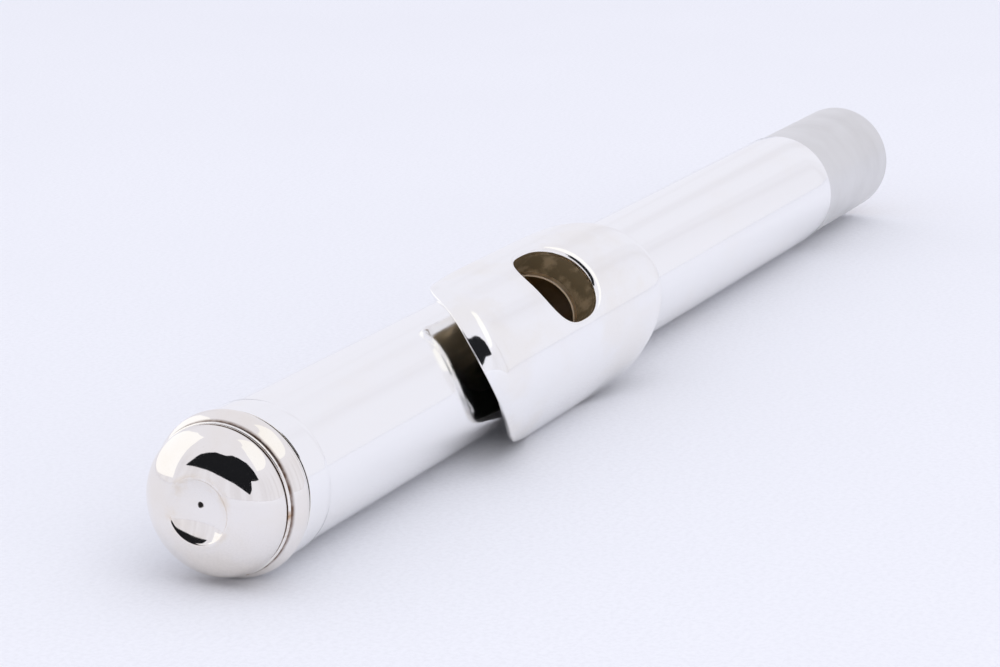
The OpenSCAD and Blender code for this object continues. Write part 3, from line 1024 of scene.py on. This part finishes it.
def card(name, azimuths, low, high, distance, colour, glow):
    """A curved card round the crown between two border lines of (azimuth, elevation)."""
    across, up = 49, 13
    spots = np.linspace(*azimuths, across)
    share = np.linspace(0, 1, up)[:, None]
    bottom, top = [np.interp(spots, *np.array(line).T) for line in (low, high)]
    elevation = bottom + (top - bottom) * share
    centre = np.array([SEAM_X, AXIS_Y, AXIS_Z])
    points = centre + distance * toward(np.broadcast_to(spots, elevation.shape), elevation)
    mesh = bpy.data.meshes.new(name)
    mesh.from_pydata(points.reshape(-1, 3).tolist(), [],
                     grid_faces(up, across, close_rows=False, close_columns=False))
    finish = Finish(name, Roughness=1.0, Base_Color=(0, 0, 0, 1), Specular_IOR_Level=0.0,
                    Emission_Color=(*colour, 1), Emission_Strength=glow)
    mesh.materials.append(finish.material)
    piece = bpy.data.objects.new(name, mesh)
    bpy.context.scene.collection.objects.link(piece)
    piece.visible_camera = piece.visible_diffuse = piece.visible_shadow = False
    piece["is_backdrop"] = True
    print(f"{name}: a card {distance} m away")


card("dark_opening", (-47, 57),
     [(-47, 20), (-36, 22), (-22, 23), (-15, 22.5), (-2, 20), (12, 16.5), (24, 11), (33, 6.5), (38, 13),
      (39, 23), (48, 24), (57, 26)],
     [(-47, 20.5), (-43, 28), (-39, 38), (-30, 45), (-20, 50), (0, 51), (12, 55), (27, 54), (45, 48),
      (53, 38), (57, 27)],
     1.5, (0.9, 0.95, 1.15), 0.013)
card("left_window", (-134, -57), [(-134, 1), (-90, 1), (-57, 5)],
     [(-134, 3), (-131, 12), (-124, 26), (-106, 47), (-79, 58), (-66, 46), (-60, 28), (-57, 8)],
     0.9, (1, 1, 1.02), 1.12)
card("right_window", (62, 165), [(62, 38), (165, 44)], [(62, 62), (75, 76), (165, 78)],
     0.9, (1, 1, 1.02), 1.08)

# %% [markdown]
# ## The tent
#
# Everything beyond the cards is a tent of thin white cloth. Low down it hangs in soft folds, which give
# the tube its faint lengthwise changes of tone, and higher up it is even. The folds depend mostly on the
# direction round the tent, so that they stand upright.

# %% Tent walls
world = bpy.data.worlds.new("white_tent")
bpy.context.scene.world = world
tent = Tree(world)
look = tent.node("ShaderNodeTexCoord", out="Generated")
level = tent.node("ShaderNodeVectorMath", {"operation": "MULTIPLY"}, {0: look, 1: (1, 1, 0.15)})
around = tent.node("ShaderNodeVectorMath", {"operation": "NORMALIZE"}, {0: level})
hang = tent.node("ShaderNodeMapping", None, {"Vector": around, "Scale": (5, 5, 2)})
folds = tent.node("ShaderNodeTexNoise", None, {"Vector": hang, "Scale": 1.0, "Detail": 2.0})
height = tent.node("ShaderNodeSeparateXYZ", None, {0: look}, out=2)
shade = folds.step(0.38, 0.68) * height.step(0.62, 0.35)
walls = tent.mix(shade, (0.885, 0.885, 0.965), (0.80, 0.79, 0.855))
tent.links.new(walls.socket, tent.nodes["Background"].inputs["Color"])
print("the tent's tree has", len(tent.nodes), "nodes")

# %% [markdown]
# ## Lamps
#
# The tent lights the cloth nearly evenly. Two soft boxes, one above and one in front, lift the top of
# the head joint and give it a soft shadow. Reflections cannot see them, so the silver shows only the
# cards and the tent.

# %% Lamps
def soft_lamp(name, azimuth, elevation, distance, size, power):
    """A square soft box that looks at the head joint."""
    lamp = bpy.data.lights.new(name, "AREA")
    lamp.shape, lamp.size, lamp.energy = "SQUARE", size, power
    place = bpy.data.objects.new(name, lamp)
    bpy.context.scene.collection.objects.link(place)
    direction = Vector(toward(azimuth, elevation).tolist())
    place.location = direction * distance
    place.rotation_mode = "QUATERNION"
    place.rotation_quaternion = direction.to_track_quat("Z", "Y")
    place.visible_camera = place.visible_glossy = False
    print(f"{name}: {power} W, {size} m across")


soft_lamp("top_lamp", 100, 70, 1.0, 0.8, 1.0)
soft_lamp("front_lamp", 55, 32, 1.0, 0.9, 1.9)

# %% [markdown]
# ## Camera
#
# A long lens looks along the head joint from low in front of its crown. A long lens keeps the tube's
# sides nearly parallel, and the low place lets the crown's face show as a slim oval.

# %% Camera
camera = bpy.data.cameras.new("camera")
camera.lens, camera.sensor_width = 107.4, 36
camera.clip_start, camera.clip_end = 0.01, 50
view = bpy.data.objects.new("camera", camera)
bpy.context.scene.collection.objects.link(view)
view.location = (-0.24336, -0.10280, 0.07189)
turn, tip = math.radians(24.902), math.radians(14.664)
forward = Vector((math.cos(tip) * math.cos(turn), math.cos(tip) * math.sin(turn), -math.sin(tip)))
view.rotation_mode = "QUATERNION"
view.rotation_quaternion = forward.to_track_quat("-Z", "Y")
bpy.context.scene.camera = view
bpy.context.scene.view_settings.view_transform = "Standard"
print(f"the camera is {view.location.length / MM:.0f} mm from the middle, lens {camera.lens:.0f} mm")

# %% [markdown]
# ## The two outer boxes
#
# Last, the fixed model's outer box and the finished one's are printed side by side.

# %% Sizes of the two models
made_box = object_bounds()
for name, (low, high) in (("fixed", cad_box), ("made", made_box)):
    print(name, [round(v / MM, 2) for v in low], [round(v / MM, 2) for v in high])
